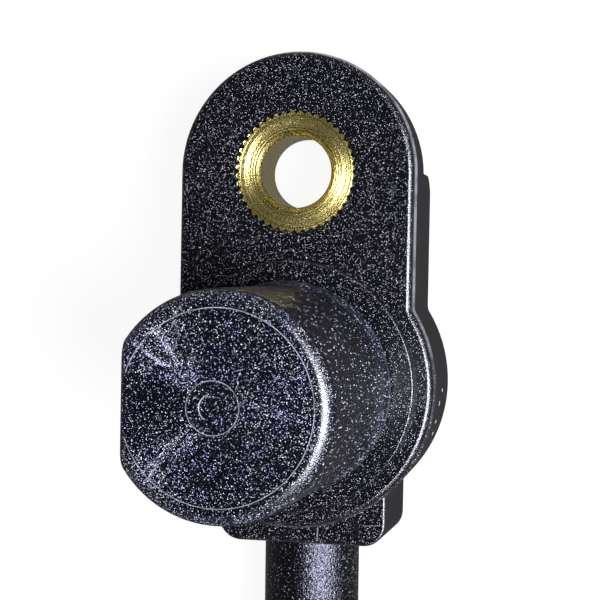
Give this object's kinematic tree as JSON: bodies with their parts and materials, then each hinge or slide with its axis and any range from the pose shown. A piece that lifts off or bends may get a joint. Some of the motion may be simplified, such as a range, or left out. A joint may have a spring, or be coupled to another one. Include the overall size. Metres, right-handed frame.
{
  "type": "camshaft position sensor",
  "caption": "Cylindrical engine speed and position pickup with a sealed barrel, a bolt-on ear with a brass sleeve, and a fixed cable that ends in a sealed connector.",
  "frame": {"origin": "on the barrel's axis, in the plane of the flange face that seats on the engine", "axes": "+Z runs along the barrel to its tip, +Y from the barrel's axis to the bolt hole, the cable leaves towards -Y and the part lies on its flat back"},
  "size_m": [0.1172, 0.1703, 0.0371],
  "materials": {
    "moulding": "fine spark-eroded grain on the front faces, smooth drafted walls",
    "brass_insert": "turned face, straight knurl",
    "seal_ring": "smooth",
    "carrier": "smooth",
    "chip": "moulded",
    "pole_steel": "ground",
    "magnet": "sintered",
    "lead_frame": "tinned",
    "ceramic": "fired",
    "splice": "tinned",
    "insulation_supply": "smooth",
    "insulation_signal": "smooth",
    "insulation_ground": "smooth",
    "jacket": "satin extruded jacket",
    "tie": "smooth",
    "boot": "matt",
    "connector": "fine grain",
    "lock": "smooth",
    "seal": "smooth",
    "pin": "tinned"
  },
  "bodies": {
    "root": {"bias_magnet": "magnet", "bushing": "brass_insert", "cable_coil": "jacket", "cable_lead": "jacket", "cable_tail": "jacket", "cable_tie": "tie", "connector_boot": "boot", "connector_housing": "connector", "core_ground": "insulation_ground", "core_signal": "insulation_signal", "core_supply": "insulation_supply", "filter_capacitor": "ceramic", "hall_element": "chip", "housing": "moulding", "lead_ground": "lead_frame", "lead_signal": "lead_frame", "lead_supply": "lead_frame", "o_ring": "seal_ring", "pin_ground": "pin", "pin_signal": "pin", "pin_supply": "pin", "pole_piece": "pole_steel", "sensor_carrier": "carrier", "splice_ground": "splice", "splice_signal": "splice", "splice_supply": "splice", "tail_core_ground": "insulation_ground", "tail_core_signal": "insulation_signal", "tail_core_supply": "insulation_supply", "terminal_lock": "lock", "wire_seal": "seal"}
  },
  "joints": []
}
